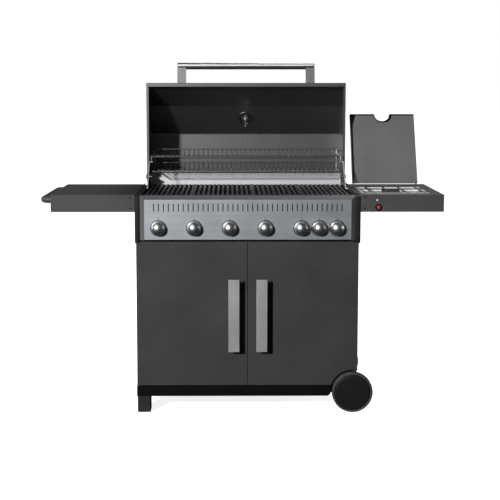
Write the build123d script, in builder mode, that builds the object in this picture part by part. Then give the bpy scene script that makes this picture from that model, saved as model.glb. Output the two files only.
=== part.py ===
from build123d import *
import os
from math import atan2, cos, degrees, radians, sin

# A gas barbecue on a cabinet cart: six main burners, a side burner, two side tables, two
# doors, two wheels on the right and two legs on the left.
# Millimetres. X runs right from the middle of the cart, Y runs back from the front of the
# doors and Z runs up from the floor. Both lids are drawn open, the way the part rests.
# The finished pieces are moved together at the end, so that the origin is on the floor
# under the middle of the whole barbecue.

# ---------------------------------------------------------------- driving dimensions
sheet = 1.2  # folded steel sheet

# cart
half_width = 432  # over the side panels
cabinet_front = 23  # front edge of the side panels, behind the doors
cabinet_back = 430
cabinet_top = 862
flange = 20  # folded edges of the side panels
beam = 40  # square tube of the base frame
beam_wall = 2
beam_low = 65
beam_high = beam_low + beam
beam_front = -4
beam_back = 434
frame_left = -433
frame_right = 433
beam_right = 326  # the front and rear beams stop short of the wheels
outrigger_front = 40  # short tubes that carry the axle
outrigger_back = 350
leg_width = 51

# wheels, on one axle that runs from front to back
wheel_x = 412.8
wheel_radius = 79.8
wheel_width = 27
wheel_front = -13
wheel_back = 443
axle_radius = 6
running_gap = 0.05  # radial play of a shaft in its hole

# doors
door_low = 107
door_high = 676.6
door_depth = 18
door_gap = 1  # from the middle to each door
hinge_x = 424
hinge_y = 10
hinge_radius = 4
notch_radius = 88  # round cut-out that clears the front wheel
pull_width = 43
pull_low = 250
pull_high = 534
pull_inner = (31, 34)  # from the middle to the left and right pulls
pull_front = -35
pull_depth = 10

# control panel
panel_half = 395
panel_low = 693.2
panel_high = 846.8
panel_front = -50
frame_half = 413
frame_low = 690
frame_high = 859.4
bevel_back = -32
bevel_front = -51
slot_count = 39
slot_pitch = 18.9
slot_width = 4
slot_height = 31
slot_z = 817
cheek_front = -46
cheek_low = 679

# valves and knobs
burner_pitch = 136.5
burner_x = [(index - 2.5) * burner_pitch for index in range(6)]
side_valve_x = 2 * burner_pitch
valve_z = 737.4
valve_places = {str(index + 1): x for index, x in enumerate(burner_x)}
valve_places["side"] = side_valve_x
stem_radius = 3
stem_flat = 2.2
stem_front = -74
stem_back = -16
knob_radius = 28
knob_back = -55
knob_front = -83
knob_rim = 2  # straight part of the knob behind its dome
push_travel = 3
manifold_y = -28
manifold_z = 708
manifold_radius = 11

# firebox
box_half = 414
box_front = 8
box_back = 452
box_high = 868
box_lip = 857.4  # top of the front wall
box_low = 716
box_wall = 2
drain_half = 60
drain_y = 230
drain_z = 698
grate_low = 843
grate_high = 855
grate_edges = (-400, -216, 24, 216, 400)
grate_pitch = 18.75
bar_width = 8
tent_z = 772

# lid, open: the plane of its opening stands upright through the hinge
lid_half = 418
lid_y = 370
lid_z = 895
lid_lip = (370, 1289)
lid_bend_low = (500, 1191)
lid_bend_high = (581, 1065.5)
lid_back = (581, 820)
lid_tail = (460, 820)
lid_bend_radius = 14
pin_radius = 4
handle_y = 403
handle_z = 1360
handle_radius = 14
handle_half = 289
post_width = 36
dial_share = 0.43  # the thermometer's place from one bend of the lid to the other

# warming rack: two wire floors on a parallelogram of four pivots
link_y = 95
link_z = 102
leg_foot_y = 195
leg_foot_z = 862
leg_x = 402
leg_wire = 2.5
rack_half = 392
rail_wire = 2
bar_wire = 1.5
post_wire = 3
rack_front = 292
rack_back = 458
rack_floor = 983.5
rack_fence = 1003.5
basket_floor = 915
basket_fence = 946.5
basket_front = 345

# side tables
table_inner = 435
table_outer = 760
table_depth = 400
table_low = 793
table_high = 859.6
rail_x = -792
rail_z = 838
rail_radius = 13

# side burner, let into the right table
bowl_left, bowl_right = 457, 706
bowl_front, bowl_back = 60, 290
bowl_rim = 6
bowl_depth = 33
bowl_mid_x = (bowl_left + bowl_right) / 2
bowl_mid_y = (bowl_front + bowl_back) / 2
side_lid_left, side_lid_right = 444.5, 717
side_lid_y = 325
side_lid_z = 874
side_lid_front = 24
side_lid_top = 881.2
side_lid_low = 863
side_lid_angle = 112  # from shut to open
side_pin_radius = 3
finger_radius = 32
igniter_x = 506
igniter_z = 811

# grease tray
tray_half = 60
tray_front, tray_back = 110, 350
tray_low, tray_high = 640, 675


# ---------------------------------------------------------------- helpers
def block(x_low, x_high, y_low, y_high, z_low, z_high, mode=Mode.ADD):
    """A box between two corners."""
    with Locations(((x_low + x_high) / 2, (y_low + y_high) / 2, (z_low + z_high) / 2)):
        Box(x_high - x_low, y_high - y_low, z_high - z_low, mode=mode)


def rod(start, end, radius, mode=Mode.ADD):
    """A round bar from one point to another."""
    line = Vector(*end) - Vector(*start)
    with Locations(Plane(origin=start, z_dir=line)):
        Cylinder(radius, line.length, align=(Align.CENTER, Align.CENTER, Align.MIN), mode=mode)


def bent_wire(points, radius, bend):
    """A wire along straight runs joined by round bends."""
    with BuildLine() as route:
        FilletPolyline(*points, radius=bend)
    first_run = Vector(*points[1]) - Vector(*points[0])
    with BuildSketch(Plane(origin=points[0], z_dir=first_run)) as section:
        Circle(radius)
    sweep(section.sketch, path=route.line)


def rectangle_between(x_low, x_high, y_low, y_high, inset=0, mode=Mode.ADD):
    """A rectangle between two corners of a sketch, made smaller all round by inset."""
    with Locations(((x_low + x_high) / 2, (y_low + y_high) / 2)):
        Rectangle(x_high - x_low - 2 * inset, y_high - y_low - 2 * inset, mode=mode)


pieces = []


def keep(piece, label):
    """Name a finished piece and put it on the list of pieces to write."""
    piece.part.label = label
    pieces.append(piece.part)


# ---------------------------------------------------------------- base frame and wheels
frame_tubes = (
    (frame_left, beam_right, beam_front, beam_front + beam),
    (frame_left, beam_right, beam_back - beam, beam_back),
    (frame_left, frame_left + beam, beam_front, beam_back),
    (beam_right - beam, beam_right, beam_front, beam_back),
    (beam_right - beam, frame_right, outrigger_front, outrigger_front + beam),
    (beam_right - beam, frame_right, outrigger_back, outrigger_back + beam),
)

with BuildPart() as base_frame:
    with BuildSketch(Plane.XY.offset(beam_low)):
        for tube in frame_tubes:
            rectangle_between(*tube)
    extrude(amount=beam)
    for end_y in (beam_front, beam_back - beam):
        with BuildSketch(Plane.XZ.offset(-end_y)):
            with BuildLine():
                Polyline((beam_right - 9, beam_low), (beam_right, beam_low), (beam_right, beam_low + 9), close=True)
            make_face()
        extrude(amount=-beam, mode=Mode.SUBTRACT)
    with BuildSketch(Plane.XY.offset(beam_low + beam_wall)):
        for tube in frame_tubes:
            rectangle_between(*tube, inset=beam_wall)
        with Locations((beam_right, beam_front + beam / 2), (beam_right, beam_back - beam / 2)):
            Rectangle(24, beam, mode=Mode.SUBTRACT)
    extrude(amount=beam - 2 * beam_wall, mode=Mode.SUBTRACT)
    axle_y = (outrigger_front - 1, outrigger_back + beam + 1)
    rod((wheel_x, axle_y[0], wheel_radius), (wheel_x, axle_y[1], wheel_radius), axle_radius, Mode.SUBTRACT)
keep(base_frame, "base_frame")

with BuildPart() as axle:
    rod((wheel_x, wheel_front + 5, wheel_radius), (wheel_x, wheel_back - 5, wheel_radius), axle_radius)
    chamfer(axle.edges(), length=1)
keep(axle, "axle")

for label, outer_y, inward in (("wheel_front", wheel_front, 1), ("wheel_rear", wheel_back, -1)):
    hub_end = outer_y + inward * 50
    with BuildPart() as wheel:
        with BuildSketch(Plane.XY.offset(wheel_radius)):
            with BuildLine():
                Polyline(
                    (wheel_x, outer_y),
                    (wheel_x + wheel_radius - 5, outer_y),
                    (wheel_x + wheel_radius, outer_y + inward * 5),
                    (wheel_x + wheel_radius, outer_y + inward * (wheel_width - 5)),
                    (wheel_x + wheel_radius - 5, outer_y + inward * wheel_width),
                    (wheel_x + wheel_radius - 16, outer_y + inward * wheel_width),
                    (wheel_x + wheel_radius - 16, outer_y + inward * 12),
                    (wheel_x + 12, outer_y + inward * 12),
                    (wheel_x + 12, hub_end),
                    (wheel_x, hub_end),
                    close=True,
                )
            make_face()
        revolve(axis=Axis((wheel_x, 0, wheel_radius), (0, 1, 0)))
        bore = axle_radius + running_gap
        rod(
            (wheel_x, outer_y + inward * 4.5, wheel_radius),
            (wheel_x, hub_end + inward, wheel_radius),
            bore,
            Mode.SUBTRACT,
        )
    keep(wheel, label)

with BuildPart() as left_legs:
    with BuildSketch():
        for leg_front in (beam_front, beam_back - leg_width):
            rectangle_between(frame_left + 2, frame_left + 2 + leg_width, leg_front, leg_front + leg_width)
    extrude(amount=beam_low)
    fillet(left_legs.edges().filter_by(Axis.Z), radius=4)
    fillet(left_legs.faces().filter_by(Axis.Z).group_by(Axis.Z)[0].edges(), radius=3.5)
keep(left_legs, "left_legs")

# ---------------------------------------------------------------- cabinet
wheel_clear_y = 408  # the cabinet's corner by the rear wheel is cut away
wheel_clear_z = 170

with BuildPart() as bottom_shelf:
    block(-429, 429, cabinet_front, 428, beam_high, beam_high + sheet)
    block(320, 429, wheel_clear_y, 428, beam_high, beam_high + sheet, mode=Mode.SUBTRACT)
keep(bottom_shelf, "bottom_shelf")

panel_low_z = beam_high + sheet + 0.2
for label, side in (("left_side_panel", -1), ("right_side_panel", 1)):
    outer = side * half_width
    inner = side * (half_width - sheet)
    edge = side * (half_width - flange)
    with BuildPart() as side_panel:
        block(min(outer, inner), max(outer, inner), cabinet_front, cabinet_back, panel_low_z, cabinet_top)
        block(
            min(inner, edge), max(inner, edge), cabinet_front, cabinet_front + sheet,
            wheel_clear_z + 15 if side > 0 else panel_low_z, 676,
        )
        block(
            min(inner, edge), max(inner, edge), cabinet_back - sheet, cabinet_back,
            panel_low_z, box_low - 20,
        )
        if side > 0:
            block(
                edge - 1, outer + 1, wheel_clear_y, cabinet_back + 1,
                panel_low_z - 1, wheel_clear_z, mode=Mode.SUBTRACT,
            )
    keep(side_panel, label)

strip_half = 60  # a strip of the rear panel reaches down behind the gap of the doors
with BuildPart() as rear_panel:
    block(-428, 428, cabinet_back - 2 * sheet, cabinet_back - sheet, 300, 690)
    block(-strip_half, strip_half, cabinet_back - 2 * sheet, cabinet_back - sheet, panel_low_z, 301)
    with Locations(Plane.XZ.offset(-cabinet_back)):
        with Locations((-250, 600, 0), (250, 600, 0)):
            with GridLocations(24, 60, 9, 2):
                Box(8, 44, 10, mode=Mode.SUBTRACT)
    block(-85, 85, cabinet_back - 5, cabinet_back + 5, 625, 691, mode=Mode.SUBTRACT)
keep(rear_panel, "rear_panel")

with BuildPart() as front_rail:
    block(-412, 412, 2, 40, cheek_low, cheek_low + 12)
    block(-half_width + sheet, half_width - sheet, cabinet_front, 40, cheek_low, cheek_low + 12)
    block(-400, 400, 4, 38, cheek_low + 2, cheek_low + 12, mode=Mode.SUBTRACT)
keep(front_rail, "front_rail")

# ---------------------------------------------------------------- doors
for name, side, gap in (("left", -1, pull_inner[0]), ("right", 1, pull_inner[1])):
    inner_x = side * door_gap
    outer_x = side * half_width
    door_box = (min(inner_x, outer_x), max(inner_x, outer_x), door_low, door_high)
    pivot_x = side * hinge_x

    with BuildPart() as door:
        with BuildSketch(Plane.XZ):
            rectangle_between(*door_box)
            if side > 0:
                with Locations((wheel_x, wheel_radius)):
                    Circle(notch_radius, mode=Mode.SUBTRACT)
        extrude(amount=-door_depth)
        fillet(door.faces().sort_by(Axis.Y)[0].edges(), radius=0.9)
        with BuildSketch(Plane.XZ.offset(-sheet)):
            rectangle_between(*door_box, inset=sheet)
            if side > 0:
                with Locations((wheel_x, wheel_radius)):
                    Circle(notch_radius + sheet, mode=Mode.SUBTRACT)
        extrude(amount=-door_depth, mode=Mode.SUBTRACT)
        rod((pivot_x, hinge_y, 100), (pivot_x, hinge_y, 700), hinge_radius + running_gap, Mode.SUBTRACT)
    keep(door, f"door_{name}")

    pull_x = (side * gap, side * (gap + pull_width))
    with BuildPart() as pull:
        block(min(pull_x), max(pull_x), pull_front, pull_front + pull_depth, pull_low, pull_high)
        fillet(pull.faces().sort_by(Axis.Y)[0].edges().filter_by(Axis.Z), radius=2)
        block(
            min(pull_x) + 2, max(pull_x) - 2, pull_front + 2, pull_front + pull_depth + 1,
            pull_low - 1, pull_high + 1, mode=Mode.SUBTRACT,
        )
        pull_mid = sum(pull_x) / 2
        for post_z in (pull_low + 40, pull_high - 40):
            rod((pull_mid, pull_front + 1, post_z), (pull_mid, 0, post_z), 6)
    keep(pull, f"door_{name}_pull")

# ---------------------------------------------------------------- control panel
with BuildPart() as fascia_panel:
    block(-panel_half, panel_half, panel_front, panel_front + sheet, panel_low, panel_high)
    block(-panel_half, panel_half, panel_front, panel_front + 40, panel_low, panel_low + sheet)
    with BuildSketch(Plane.XZ.offset(-panel_front + 1)):
        with Locations((0, slot_z)):
            with GridLocations(slot_pitch, 1, slot_count, 1):
                SlotOverall(slot_height, slot_width, rotation=90)
        for x in valve_places.values():
            with Locations((x, valve_z)):
                Circle(7)
    extrude(amount=-5, mode=Mode.SUBTRACT)
keep(fascia_panel, "fascia_panel")


bevel_inset = frame_half - panel_half - 1
bevel_rise = (frame_high - panel_high - 1) / bevel_inset


def bevel_rectangle(inset, shrink):
    """The control panel's frame in front view: inset on three sides, open at the bottom."""
    rectangle_between(
        -frame_half + inset + shrink, frame_half - inset - shrink,
        frame_low - shrink, frame_high - inset * bevel_rise - shrink,
    )


with BuildPart() as fascia_frame:
    for shrink, mode in ((0, Mode.ADD), (1.5, Mode.SUBTRACT)):
        with BuildSketch(Plane.XZ.offset(-bevel_back)):
            bevel_rectangle(0, shrink)
        with BuildSketch(Plane.XZ.offset(-bevel_front)):
            bevel_rectangle(bevel_inset, shrink)
        loft(mode=mode)
        with BuildSketch(Plane.XZ.offset(-2)):
            bevel_rectangle(0, shrink)
        extrude(amount=2 - bevel_back, mode=mode)
    block(
        -panel_half - 0.5, panel_half + 0.5, bevel_front - 1, bevel_back,
        frame_low - 1, panel_high + 0.5, mode=Mode.SUBTRACT,
    )
keep(fascia_frame, "fascia_frame")

with BuildPart() as fascia_cheeks:
    for side in (-1, 1):
        cheek_x = sorted((side * (box_half + 0.3), side * half_width))
        block(*cheek_x, cheek_front, cabinet_front - 1, cheek_low, frame_high - 0.4)
    fillet(fascia_cheeks.edges().filter_by(Axis.Z).group_by(Axis.Y)[0], radius=4)
    for side in (-1, 1):
        hollow_x = sorted((side * (box_half + 2.3), side * (half_width - 2)))
        block(
            *hollow_x, cheek_front + 2, cabinet_front, cheek_low + 2, frame_high - 2.4,
            mode=Mode.SUBTRACT,
        )
keep(fascia_cheeks, "fascia_cheeks")

with BuildPart() as knob_bezels:
    for x in valve_places.values():
        with BuildSketch(Plane.XY.offset(valve_z)):
            with BuildLine():
                Polyline(
                    (x + 8, panel_front),
                    (x + 31.5, panel_front),
                    (x + 30.5, panel_front - 1.5),
                    (x + 8, panel_front - 1.5),
                    close=True,
                )
            make_face()
        revolve(axis=Axis((x, 0, valve_z), (0, 1, 0)))
keep(knob_bezels, "knob_bezels")

# ---------------------------------------------------------------- valves, stems and knobs
with BuildPart() as gas_manifold:
    rod((-385, manifold_y, manifold_z), (385, manifold_y, manifold_z), manifold_radius)
    rod((-383, manifold_y, manifold_z), (383, manifold_y, manifold_z), manifold_radius - 2, Mode.SUBTRACT)
    bent_wire(
        ((384, manifold_y, manifold_z - 4), (400, manifold_y, manifold_z - 4),
         (400, 62, manifold_z - 4), (400, 62, 640)),
        radius=5,
        bend=12,
    )
    rod((400, 62, 665), (400, 62, 675), 9)
    rod((380, manifold_y, manifold_z - 4), (390, manifold_y, manifold_z - 4), 2, Mode.SUBTRACT)
keep(gas_manifold, "gas_manifold")

valve_back = -8
with BuildPart() as valve_bodies:
    for x in valve_places.values():
        rod((x, panel_front + sheet, valve_z), (x, panel_front + sheet + 2.5, valve_z), 14)
        rod((x, panel_front + sheet, valve_z), (x, valve_back, valve_z), 12)
        rod((x, valve_back, valve_z), (x, valve_back + 10, valve_z), 4)
        rod((x, manifold_y, valve_z), (x, manifold_y, manifold_z), 7)
    rod((-390, manifold_y, manifold_z), (390, manifold_y, manifold_z), manifold_radius, Mode.SUBTRACT)
    for x in valve_places.values():
        rod(
            (x, panel_front, valve_z), (x, stem_back + 1, valve_z),
            stem_radius + running_gap, Mode.SUBTRACT,
        )
keep(valve_bodies, "valve_bodies")

dome_rise = knob_back - knob_rim - knob_front
dome_radius = (knob_radius**2 + dome_rise**2) / (2 * dome_rise)
dome_mid_y = knob_front + dome_radius - (dome_radius**2 - knob_radius**2 / 4) ** 0.5

for number, x in valve_places.items():
    flat_low = valve_z + stem_flat
    with BuildPart() as stem:
        rod((x, stem_front, valve_z), (x, stem_back, valve_z), stem_radius)
        flat_back = knob_back + push_travel + 0.5
        block(x - 5, x + 5, stem_front - 1, flat_back, flat_low, flat_low + 5, mode=Mode.SUBTRACT)
    keep(stem, f"valve_stem_{number}")

    with BuildPart() as knob:
        with BuildSketch(Plane.XY.offset(valve_z)):
            with BuildLine():
                rim = (x + knob_radius, knob_back - knob_rim)
                Polyline((x, knob_back), (x + knob_radius, knob_back), rim)
                ThreePointArc(rim, (x + knob_radius / 2, dome_mid_y), (x, knob_front))
                Line((x, knob_front), (x, knob_back))
            make_face()
        revolve(axis=Axis((x, 0, valve_z), (0, 1, 0)))
        with BuildSketch(Plane.XZ.offset(-knob_back)):
            with Locations((x, valve_z)):
                Circle(knob_radius - 10)
                Circle(7, mode=Mode.SUBTRACT)
        extrude(amount=14, mode=Mode.SUBTRACT)
        with BuildSketch(Plane.XZ.offset(-knob_back)):
            with Locations((x, valve_z)):
                Circle(stem_radius + running_gap)
            with Locations((x, flat_low + running_gap + 2.5)):
                Rectangle(10, 5, mode=Mode.SUBTRACT)
        extrude(amount=knob_back - stem_front + 4, mode=Mode.SUBTRACT)
    keep(knob, f"knob_{number}")

# ---------------------------------------------------------------- firebox
with BuildPart() as firebox:
    for wall, mode in ((0, Mode.ADD), (box_wall, Mode.SUBTRACT)):
        outline = (-box_half + wall, box_half - wall, box_front + wall, box_back - wall)
        with BuildSketch(Plane.XY.offset(box_low + wall)):
            rectangle_between(*outline)
        extrude(amount=box_high - box_low, mode=mode)
        with BuildSketch(Plane.XY.offset(box_low + wall)):
            rectangle_between(*outline)
        with BuildSketch(Plane.XY.offset(drain_z + wall)):
            rectangle_between(-drain_half, drain_half, drain_y - drain_half, drain_y + drain_half)
        loft(mode=mode)
    block(-50, 50, drain_y - 50, drain_y + 50, drain_z - 5, drain_z + 5, mode=Mode.SUBTRACT)
    block(-box_half - 1, box_half + 1, box_front - 1, box_back + 1, box_high, box_high + 5, mode=Mode.SUBTRACT)
    block(
        -box_half + box_wall, box_half - box_wall, box_front - 1, box_front + box_wall,
        box_lip, box_high + 1, mode=Mode.SUBTRACT,
    )
    for ledge_top in (grate_low, tent_z):
        block(-box_half + 1, box_half - 1, box_front + 1, box_front + 12, ledge_top - 2, ledge_top)
        block(-box_half + 1, box_half - 1, box_back - 12, box_back - 1, ledge_top - 2, ledge_top)
    for side in (-1, 1):
        shoulder_x = sorted((side * (box_half - 1), side * (half_width - sheet)))
        block(*shoulder_x, cabinet_front, 340, cabinet_top - 2, cabinet_top)
        rail_web = sorted((side * 68, side * 69.5))
        block(*rail_web, 100, 400, 671.5, drain_z + 2)
        rail_foot = sorted((side * 62.5, side * 69.5))
        block(*rail_foot, 100, 400, 671.5, 673)
        block(*sorted((side * 62, side * 76)), 170, 290, drain_z + 0.2, drain_z + 2)
    for x in burner_x:
        rod((x, box_front - 1, valve_z), (x, box_front + 3, valve_z), 13, Mode.SUBTRACT)
    rod(
        (-box_half - 5, leg_foot_y, leg_foot_z), (box_half + 5, leg_foot_y, leg_foot_z),
        leg_wire + 0.1, Mode.SUBTRACT,
    )
keep(firebox, "firebox")

with BuildPart() as burners:
    for x in burner_x:
        rod((x, -4, valve_z), (x, 420, valve_z), 12)
        rod((x, -5, valve_z), (x, 418, valve_z), 11, Mode.SUBTRACT)
        block(x - 8, x + 8, 419, box_back - box_wall, valve_z - 1, valve_z + 1)
        for port in range(12):
            port_y = 60 + 30 * port
            rod((x - 13, port_y, valve_z + 3), (x + 13, port_y, valve_z + 3), 1.5, Mode.SUBTRACT)
keep(burners, "burners")

with BuildPart() as heat_tents:
    for x in burner_x:
        with BuildSketch(Plane.XZ.offset(-box_front - 6)):
            with BuildLine():
                Polyline(
                    (x - 35, tent_z),
                    (x, tent_z + 24),
                    (x + 35, tent_z),
                    (x + 33, tent_z),
                    (x, tent_z + 22.5),
                    (x - 33, tent_z),
                    close=True,
                )
            make_face()
        extrude(amount=-(box_back - box_front - 12))
keep(heat_tents, "heat_tents")

grate_front = box_front + 6
grate_back = box_back - 6
with BuildPart() as grates:
    for left, right in zip(grate_edges, grate_edges[1:]):
        bar_count = round((right - left) / grate_pitch)
        first_bar = left + 1 + bar_width / 2
        bar_step = (right - left - 2 - bar_width) / (bar_count - 1)
        middle = (left + right) / 2
        with BuildSketch(Plane.XY.offset(grate_low)):
            with Locations((middle, (grate_front + grate_back) / 2)):
                with GridLocations(bar_step, 1, bar_count, 1):
                    Rectangle(bar_width, grate_back - grate_front)
        extrude(amount=grate_high - grate_low)
        for rib_y in (grate_front, grate_front + 106, grate_front + 212, grate_front + 318, grate_back - 8):
            block(left + 1, right - 1, rib_y, rib_y + 8, grate_low, grate_high - 3)
keep(grates, "grates")

with BuildPart() as rear_baffle:
    block(-410, 410, box_back - box_wall - sheet, box_back - box_wall, grate_low, 912)
    block(-410, 410, box_back - box_wall - 8, box_back - box_wall, 912 - sheet, 912)
keep(rear_baffle, "rear_baffle")

# ---------------------------------------------------------------- lid
lid_profile = (lid_lip, lid_bend_low, lid_bend_high, lid_back, lid_tail)
facet_angle = degrees(atan2(lid_bend_high[1] - lid_bend_low[1], lid_bend_high[0] - lid_bend_low[0]))
dial_y = lid_bend_low[0] + dial_share * (lid_bend_high[0] - lid_bend_low[0])
dial_z = lid_bend_low[1] + dial_share * (lid_bend_high[1] - lid_bend_low[1])
dial_out = Vector(0, -sin(radians(facet_angle)), cos(radians(facet_angle)))
dial_plane = Plane(origin=(0, dial_y, dial_z), x_dir=(1, 0, 0), z_dir=dial_out)

with BuildPart() as lid_shell:
    with BuildSketch(Plane.YZ):
        with BuildLine():
            FilletPolyline(*lid_profile, radius=lid_bend_radius)
        trace(line_width=sheet)
    extrude(amount=lid_half, both=True)
    block(-lid_half, lid_half, lid_y, lid_y + sheet, lid_lip[1] - 15, lid_lip[1] - 1)
    with Locations(dial_plane):
        Cylinder(10, 10, mode=Mode.SUBTRACT)
keep(lid_shell, "lid_shell")

with BuildPart() as lid_ends:
    for side in (-1, 1):
        end_x = min(side * lid_half, side * (lid_half + sheet))
        with BuildSketch(Plane.YZ.offset(end_x)):
            with BuildLine():
                FilletPolyline(*lid_profile, radius=lid_bend_radius)
                Polyline(lid_tail, (lid_y, 882), lid_lip)
            make_face()
            with Locations((lid_y, lid_z)):
                Circle(15)
        extrude(amount=sheet)
        flange_x = sorted((side * (lid_half - 8.5), side * (lid_half + 0.1)))
        block(*flange_x, lid_y, lid_y + sheet, lid_z + 20, lid_lip[1] - 16)
    for side in (-1, 1):
        rod(
            (side * (lid_half - 5), lid_y, lid_z), (side * (lid_half + 5), lid_y, lid_z),
            pin_radius + running_gap, Mode.SUBTRACT,
        )
        rod(
            (side * (lid_half - 5), lid_y + link_y, lid_z + link_z),
            (side * (lid_half + 5), lid_y + link_y, lid_z + link_z),
            leg_wire + 0.1, Mode.SUBTRACT,
        )
keep(lid_ends, "lid_ends")

with BuildPart() as lid_handle_bar:
    rod((-handle_half, handle_y, handle_z), (handle_half, handle_y, handle_z), handle_radius)
    fillet(lid_handle_bar.edges().filter_by(GeomType.CIRCLE), radius=1.5)
keep(lid_handle_bar, "lid_handle_bar")

face_run = Vector(lid_bend_low[0] - lid_lip[0], lid_bend_low[1] - lid_lip[1]).normalized()
face_out = Vector(-face_run.Y, face_run.X)
post_foot = [Vector(*lid_lip) + face_run * reach + face_out * (sheet / 2) for reach in (8, 36)]
with BuildPart() as lid_handle_posts:
    for side in (-1, 1):
        post_x = min(side * handle_half, side * (handle_half - post_width))
        with BuildSketch(Plane.YZ.offset(post_x)):
            with BuildLine():
                Polyline(
                    (post_foot[0].X, post_foot[0].Y),
                    (handle_y - 12, handle_z - 4),
                    (handle_y + 12, handle_z - 4),
                    (post_foot[1].X, post_foot[1].Y),
                    close=True,
                )
            make_face()
        extrude(amount=post_width)
    rod(
        (-handle_half - 1, handle_y, handle_z), (handle_half + 1, handle_y, handle_z),
        handle_radius, Mode.SUBTRACT,
    )
keep(lid_handle_posts, "lid_handle_posts")

with BuildPart() as thermometer:
    with Locations(dial_plane.offset(sheet / 2)):
        Cylinder(38, 12, align=(Align.CENTER, Align.CENTER, Align.MIN))
    with Locations(dial_plane.offset(-sheet / 2 - 3)):
        Cylinder(33, 3, align=(Align.CENTER, Align.CENTER, Align.MIN))
    with Locations(dial_plane.offset(-sheet / 2 - 12)):
        Cylinder(12, 10, align=(Align.CENTER, Align.CENTER, Align.MIN))
    with Locations(dial_plane.offset(-68)):
        Cylinder(3, 60, align=(Align.CENTER, Align.CENTER, Align.MIN))
    with Locations(dial_plane.offset(-4)):
        Cylinder(9.9, 8, align=(Align.CENTER, Align.CENTER, Align.MIN))
keep(thermometer, "thermometer")

ear_x = (box_half, box_half + 3)
with BuildPart() as lid_hinge_ears:
    for side in (-1, 1):
        with BuildSketch(Plane.YZ.offset(min(side * ear_x[0], side * ear_x[1]))):
            rectangle_between(lid_y - 12, lid_y + 12, 800, lid_z)
            with Locations((lid_y, lid_z)):
                Circle(12)
                Circle(pin_radius, mode=Mode.SUBTRACT)
        extrude(amount=ear_x[1] - ear_x[0])
keep(lid_hinge_ears, "lid_hinge_ears")

# ---------------------------------------------------------------- hinge pins
with BuildPart() as hinge_pins:
    for side in (-1, 1):
        rod((side * 398, lid_y, lid_z), (side * (lid_half + 2), lid_y, lid_z), pin_radius)
        rod((side * (lid_half + 1.6), lid_y, lid_z), (side * (lid_half + 5.5), lid_y, lid_z), 7)
        rod((side * 406, lid_y, lid_z), (side * 413.8, lid_y, lid_z), 7.5)
        pivot_x = side * hinge_x
        rod((pivot_x, hinge_y, cheek_low - 25), (pivot_x, hinge_y, cheek_low), hinge_radius)
        rod((pivot_x, hinge_y, cheek_low - 1.6), (pivot_x, hinge_y, cheek_low), 7)
    rod((-hinge_x, hinge_y, beam_high), (-hinge_x, hinge_y, beam_high + 22), hinge_radius)
    rod((-hinge_x, hinge_y, beam_high), (-hinge_x, hinge_y, beam_high + 1.4), 7)
    rod((hinge_x, hinge_y, 163), (hinge_x, hinge_y, 187), hinge_radius)
    block(412, half_width - sheet, 4, cabinet_front, 163, 164.4)
    block(412, half_width - sheet, cabinet_front - 1, cabinet_front, 163, 205)
    for side_x, inward in ((side_lid_left, 1), (side_lid_right, -1)):
        tab_x = sorted((side_x + inward * 4, side_x + inward * 7))
        block(*tab_x, side_lid_y - 8, side_lid_y + 3, table_high, side_lid_z + 4)
        rod(
            (side_x - inward * 1.5, side_lid_y, side_lid_z), (side_x + inward * 5, side_lid_y, side_lid_z),
            side_pin_radius,
        )
keep(hinge_pins, "hinge_pins")

# ---------------------------------------------------------------- warming rack
rack_pin = (lid_y + link_y, lid_z + link_z)
leg_top = (leg_foot_y + link_y, leg_foot_z + link_z)

with BuildPart() as warming_rack:
    for side in (-1, 1):
        edge_x = side * rack_half
        for floor_z, front_y in ((rack_floor, rack_front), (basket_floor, basket_front)):
            rod((edge_x, front_y, floor_z), (edge_x, rack_back + 1, floor_z), rail_wire)
        rod((edge_x, rack_back, basket_floor - 1), (edge_x, rack_back, rack_fence + 1), post_wire)
        rod((edge_x, leg_top[0], leg_top[1] + 5), (edge_x, leg_top[0], rack_floor + 1), post_wire)
        bent_wire(
            ((edge_x, rack_back, rack_pin[1]), (edge_x, *rack_pin), (side * (lid_half + 4), *rack_pin)),
            radius=leg_wire,
            bend=6,
        )
        with Locations(Plane(origin=(edge_x, *leg_top), z_dir=(1, 0, 0))):
            Cylinder(7, 4)
            Cylinder(3.4, 6, mode=Mode.SUBTRACT)
    for rail_y, rail_height in (
        (rack_front, rack_floor), (rack_back, rack_floor), (rack_back, rack_fence),
        (basket_front, basket_floor), (rack_back, basket_floor), (rack_back, basket_fence),
    ):
        rod((-rack_half - 1, rail_y, rail_height), (rack_half + 1, rail_y, rail_height), rail_wire)
    for index in range(-9, 10):
        wire_x = index * 41
        rod((wire_x, rack_front, rack_floor), (wire_x, rack_back, rack_floor), bar_wire)
        rod((wire_x, rack_back, rack_floor), (wire_x, rack_back, rack_fence), bar_wire)
        rod((wire_x, basket_front, basket_floor), (wire_x, rack_back, basket_floor), bar_wire)
        rod((wire_x, rack_back, basket_floor), (wire_x, rack_back, basket_fence), bar_wire)
keep(warming_rack, "warming_rack")

with BuildPart() as rack_legs:
    for side in (-1, 1):
        bent_wire(
            (
                (side * (box_half + 2), leg_foot_y, leg_foot_z),
                (side * leg_x, leg_foot_y, leg_foot_z),
                (side * leg_x, *leg_top),
                (side * (rack_half - 6), *leg_top),
            ),
            radius=leg_wire,
            bend=6,
        )
keep(rack_legs, "rack_legs")

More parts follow.
